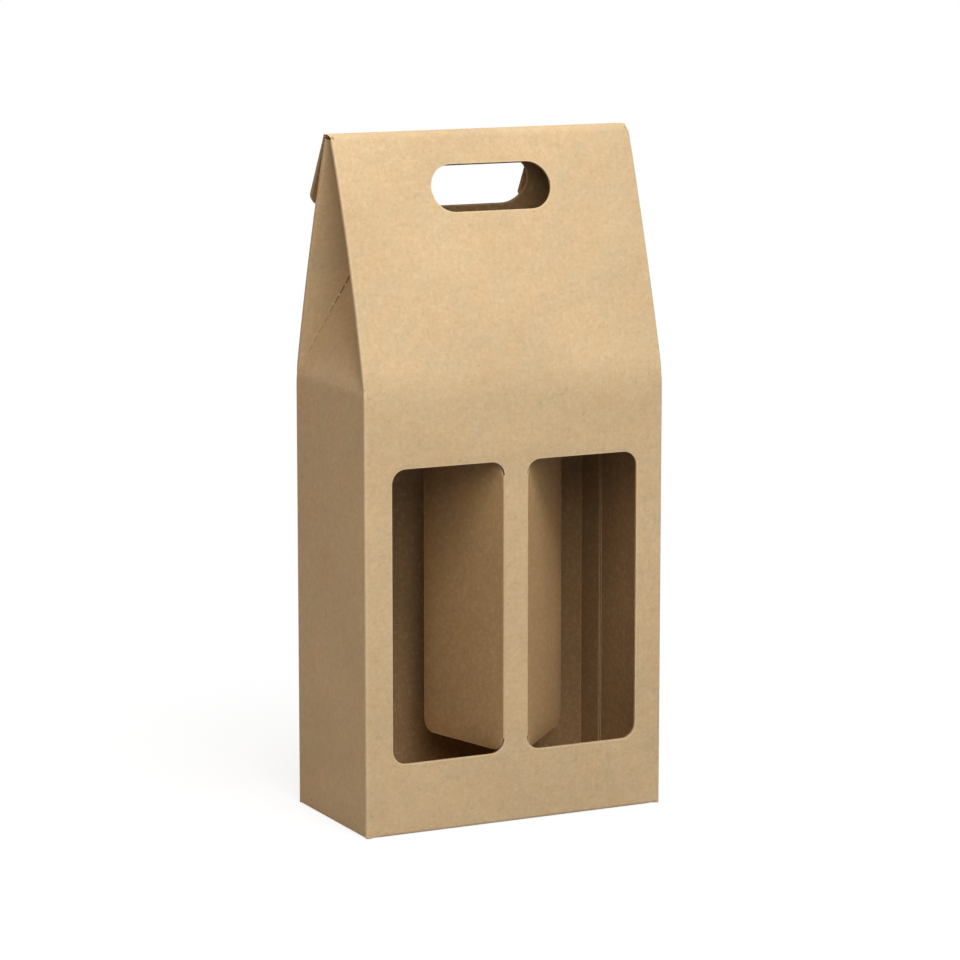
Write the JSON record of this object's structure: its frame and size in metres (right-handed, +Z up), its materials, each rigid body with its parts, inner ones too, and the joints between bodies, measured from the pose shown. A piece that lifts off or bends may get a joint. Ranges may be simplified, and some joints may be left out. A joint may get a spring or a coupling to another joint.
{
  "type": "cardboard bottle carrier",
  "caption": "Tall kraft board carrier with a gable top, hand slots, folded-in gussets, a closing flap behind the ridge, and front windows whose flaps fold inwards as bottle dividers.",
  "frame": {"origin": "centre of the sleeve's footprint, on the surface that it stands on", "axes": "+X along the width towards the wall with the glue flap, +Y from the front with the windows towards the back, +Z up to the ridge"},
  "size_m": [0.18, 0.09, 0.3755],
  "materials": {
    "kraft_board": "matt unprinted kraft liner with fine fibres",
    "kraft_board_inside": "matt kraft inner liner"
  },
  "bodies": {
    "carton": {"carton": "kraft_board"},
    "closing_flap": {"closing_flap": "kraft_board"},
    "left_window_flap": {"left_window_flap": "kraft_board_inside"},
    "right_window_flap": {"right_window_flap": "kraft_board_inside"}
  },
  "joints": [
    {"name": "closing_flap_hinge", "type": "hinge", "parent": "carton", "child": "closing_flap", "pos_m": [0, 0.00535, 0.37475], "axis": [1, 0, 0], "range_deg": [-8, 150]},
    {"name": "left_window_flap_hinge", "type": "hinge", "parent": "carton", "child": "left_window_flap", "pos_m": [-0.00695, -0.04425, 0.1195], "axis": [0, 0, -1], "range_deg": [-75.5, 14.5]},
    {"name": "right_window_flap_hinge", "type": "hinge", "parent": "carton", "child": "right_window_flap", "pos_m": [0.00695, -0.04425, 0.1195], "axis": [0, 0, 1], "range_deg": [-46.7, 43.3]}
  ]
}
